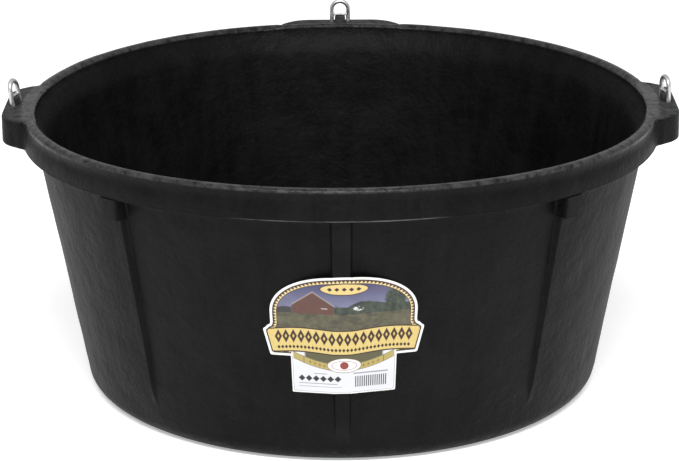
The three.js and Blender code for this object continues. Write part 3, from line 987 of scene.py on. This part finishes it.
def plate_rings(shrink):
    """Outer edge, then the two holes, all drawn in from the plate's full size by shrink."""
    x, y = plate_half - plate_corner, plate_half_width - plate_corner
    outer = []
    for turn, side_x, side_y in ((0, 1, 1), (90, -1, 1), (180, -1, -1), (270, 1, -1)):
        outer += arc((x * side_x, y * side_y), plate_corner - shrink, turn, turn + 90, 8)
    holes = []
    for hole in (-leg_across, leg_across):
        ring = ring_points_at((hole, 0), thread_radius + 0.25 + shrink, 0, 24)
        holes.append([(px, py) for px, py, z in reversed(ring)])
    return [outer, *holes]


def backing_plate_mesh():
    levels = [(plate_top - plate_thick, plate_roll), (plate_top - plate_thick + plate_roll, 0.0)]
    levels += [(plate_top - plate_roll, 0.0), (plate_top, plate_roll)]
    points, faces, starts = [], [], []
    for height, shrink in levels:
        rings_here = plate_rings(shrink)
        starts.append([])
        for ring in rings_here:
            starts[-1].append(len(points))
            points += [(x, y, height) for x, y in ring]
    sizes = [len(ring) for ring in plate_rings(0)]
    for low, high in zip(starts, starts[1:]):
        for at, above, size in zip(low, high, sizes):
            for i in range(size):
                j = (i + 1) % size
                faces.append((at + i, at + j, above + j, above + i))
    flat = [Vector(p[:2]) for p in points[starts[-1][0]:]]
    loops, at = [], 0
    for size in sizes:
        loops.append(tuple(range(at, at + size)))
        at += size
    cap = geometry.delaunay_2d_cdt(flat, [], loops, 2, 1e-5)[2]
    for face in cap:
        middle = sum((flat[i] for i in face), Vector((0, 0))) / len(face)
        off_holes = [(middle - Vector((hole, 0))).length for hole in (-leg_across, leg_across)]
        if min(off_holes) < thread_radius:
            continue
        faces.append(tuple(starts[-1][0] + i for i in face))
        faces.append(tuple(starts[0][0] + i for i in reversed(face)))
    return points, faces


# Nut: small plated hexagon nut, chamfered on both faces, drawn up under the backing plate.
nut_half = 3.5
nut_bore = thread_radius + 0.05
nut_sides = 72
nut_face = nut_half * 0.93
nut_chamfer = 0.58


def hexagon(angle):
    """Radius of the nut's edge at an angle."""
    corner = (angle + math.pi / 6) % (math.pi / 3) - math.pi / 6
    return nut_half / math.cos(corner)


def nut_mesh(across):
    angles = np.linspace(0, 2 * math.pi, nut_sides, endpoint=False)
    rows = [[(nut_bore, 0.3)] * nut_sides, [(nut_bore + 0.35, 0.0)] * nut_sides]
    rows.append([(nut_face, 0.0)] * nut_sides)
    for soft in (0.0, 0.12):
        rows.append([(hexagon(a), (hexagon(a) - nut_face) * nut_chamfer + soft) for a in angles])
    sections = []
    for level, way, ends in ((nut_top - nut_thick, 1, rows), (nut_top, -1, rows[::-1])):
        for row in ends:
            section = []
            for (radius, depth), a in zip(row, angles):
                x, y = across + radius * math.cos(a), radius * math.sin(a)
                section.append((x, y, level + way * depth))
            sections.append(section)
    points, faces = stack(sections + [sections[0]], False)
    total = len(points) - nut_sides
    return points[:total], [tuple(i % total for i in face) for face in faces]


for side in lug_turns:
    fit_piece("hanging_loop_" + side, *loop_mesh(), side, "loop_" + side, 60)
    fit_piece("welded_bar_" + side, *cross_bar_mesh(), side, "cross_bar_" + side, 50)
    fit_piece("lug_plate_" + side, *backing_plate_mesh(), side, "backing_plate_" + side)
    fit_piece("hex_nut_a_" + side, *nut_mesh(-leg_across), side, "nut_a_" + side)
    fit_piece("hex_nut_b_" + side, *nut_mesh(leg_across), side, "nut_b_" + side)


# Floor: one wide sheet of pale plastic, lit softly from below, that the tub stands on.
floor_half = 9000
floor_step = 3000
floor_level = -0.2
floor_marks = range(-floor_half, floor_half + 1, floor_step)
floor_points = [(x, y, floor_level) for y in floor_marks for x in floor_marks]
floor_side = 2 * floor_half // floor_step + 1
floor_faces = []
for row in range(floor_side - 1):
    for column in range(floor_side - 1):
        corner = row * floor_side + column
        behind_it = corner + floor_side
        floor_faces.append((corner, corner + 1, behind_it + 1, behind_it))
floor = make_piece("studio_floor", floor_points, floor_faces)
pale, shader, place = new_finish("pale_floor")
place.noise(3, 3).tint((0.93, 0.93, 0.93), (0.96, 0.96, 0.96)).feed(shader, "Base Color")
(0.7 + 0.1 * place.noise(40, 2)).feed(shader, "Roughness")
shader.inputs["Specular IOR Level"].default_value = 0.1
shader.inputs["Emission Color"].default_value = (1.0, 1.0, 1.0, 1.0)
shader.inputs["Emission Strength"].default_value = 0.37
floor.data.materials.append(pale)


# Light: an even white room, and one long soft panel above the camera's side of the tub.
room = bpy.data.worlds.new("white_room")
bpy.context.scene.world = room
room.use_nodes = True
room.node_tree.nodes["Background"].inputs["Color"].default_value = (1.0, 1.0, 1.0, 1.0)
room.node_tree.nodes["Background"].inputs["Strength"].default_value = 0.6
panel_place = Vector((0.0, -1.35, 1.7))
tub_middle = Vector((0.0, 0.0, 0.12))
lamp = bpy.data.lights.new("front_panel", "AREA")
lamp.shape = "RECTANGLE"
lamp.size = 1.6
lamp.size_y = 0.42
lamp.energy = 48
panel = bpy.data.objects.new("front_panel", lamp)
panel.location = panel_place
panel.rotation_euler = (tub_middle - panel_place).to_track_quat("-Z", "Y").to_euler()
bpy.context.scene.collection.objects.link(panel)


# Camera: a long lens in front of the tub, a little above it and looking down into it.
eye = (0.0, -1.899, 0.728)
looking_down = 18.1
leaning_over = -0.36
view = bpy.data.cameras.new("camera")
view.sensor_width = 36.0
view.lens = 142.7
view.shift_x = -0.0026
view.shift_y = -0.0010
view.clip_start = 0.05
view.clip_end = 60
camera = bpy.data.objects.new("camera", view)
bpy.context.scene.collection.objects.link(camera)
tilt = Euler((math.radians(90 - looking_down), 0, 0)).to_matrix().to_4x4()
roll = Matrix.Rotation(math.radians(leaning_over), 4, "Z")
camera.matrix_world = Matrix.Translation(eye) @ tilt @ roll
bpy.context.scene.camera = camera
bpy.context.scene.view_settings.view_transform = "Standard"
